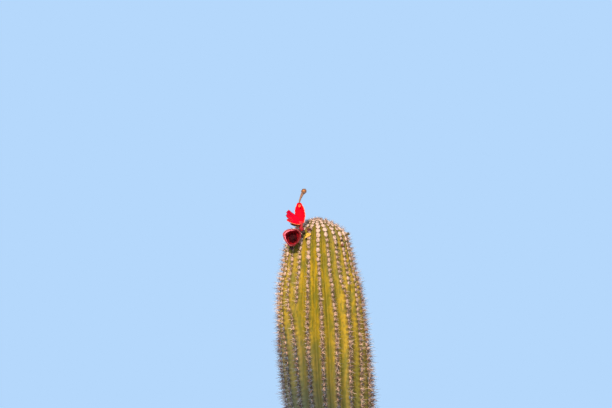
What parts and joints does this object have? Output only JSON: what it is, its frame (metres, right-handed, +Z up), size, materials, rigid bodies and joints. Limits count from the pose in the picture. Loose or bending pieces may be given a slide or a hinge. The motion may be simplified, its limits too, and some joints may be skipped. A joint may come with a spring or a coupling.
{
  "type": "saguaro cactus",
  "caption": "Young saguaro cactus: one ribbed, spiny, slightly leaning column with split red fruit, one with its dried flower, at the crown.",
  "frame": {"origin": "middle of the flat cut under the trunk, at ground level", "axes": "+Z up the plant, -Y the side that faces the viewer, +X to the viewer's right"},
  "size_m": [0.4464, 0.3403, 2.4428],
  "materials": {
    "skin": "waxy, ribbed olive to yellow-green skin, brown and corky at the foot",
    "spines": "matte pinkish-tan spines with darker tips on cream felt cushions, grey lower down",
    "wool": "felted tan wool with short upright spines",
    "fruit_red": "moist scarlet inside, pinkish-orange rim, dull brownish-red outside",
    "fruit_rind": "fleshy pink-red rim and dark wine-red inside",
    "pulp": "wet, almost black remains of pulp and seeds",
    "dried_flower": "dry, wrinkled brown",
    "scar_yellow": "matte yellow-ochre, torn",
    "scar_dark": "matte dark red-brown crust",
    "dried_bud": "matte, shrivelled olive-brown"
  },
  "bodies": {
    "root": {"trunk": "skin", "spine_row_01": "spines", "spine_row_02": "spines", "spine_row_03": "spines", "spine_row_04": "spines", "spine_row_05": "spines", "spine_row_06": "spines", "spine_row_07": "spines", "spine_row_08": "spines", "spine_row_09": "spines", "spine_row_10": "spines", "spine_row_11": "spines", "spine_row_12": "spines", "spine_row_13": "spines", "spine_row_14": "spines", "spine_row_15": "spines", "spine_row_16": "spines", "spine_row_17": "spines", "spine_row_18": "spines", "spine_row_19": "spines", "spine_row_20": "spines", "spine_row_21": "spines", "spine_row_22": "spines", "crown_wool": "wool", "split_fruit": "fruit_red", "dried_flower": "dried_flower", "open_fruit": "fruit_rind", "fruit_pulp": "pulp", "fruit_scar_front": "scar_yellow", "dried_scar_left": "scar_dark", "dried_scar_right": "scar_dark", "dried_bud_right": "dried_bud"}
  },
  "joints": []
}
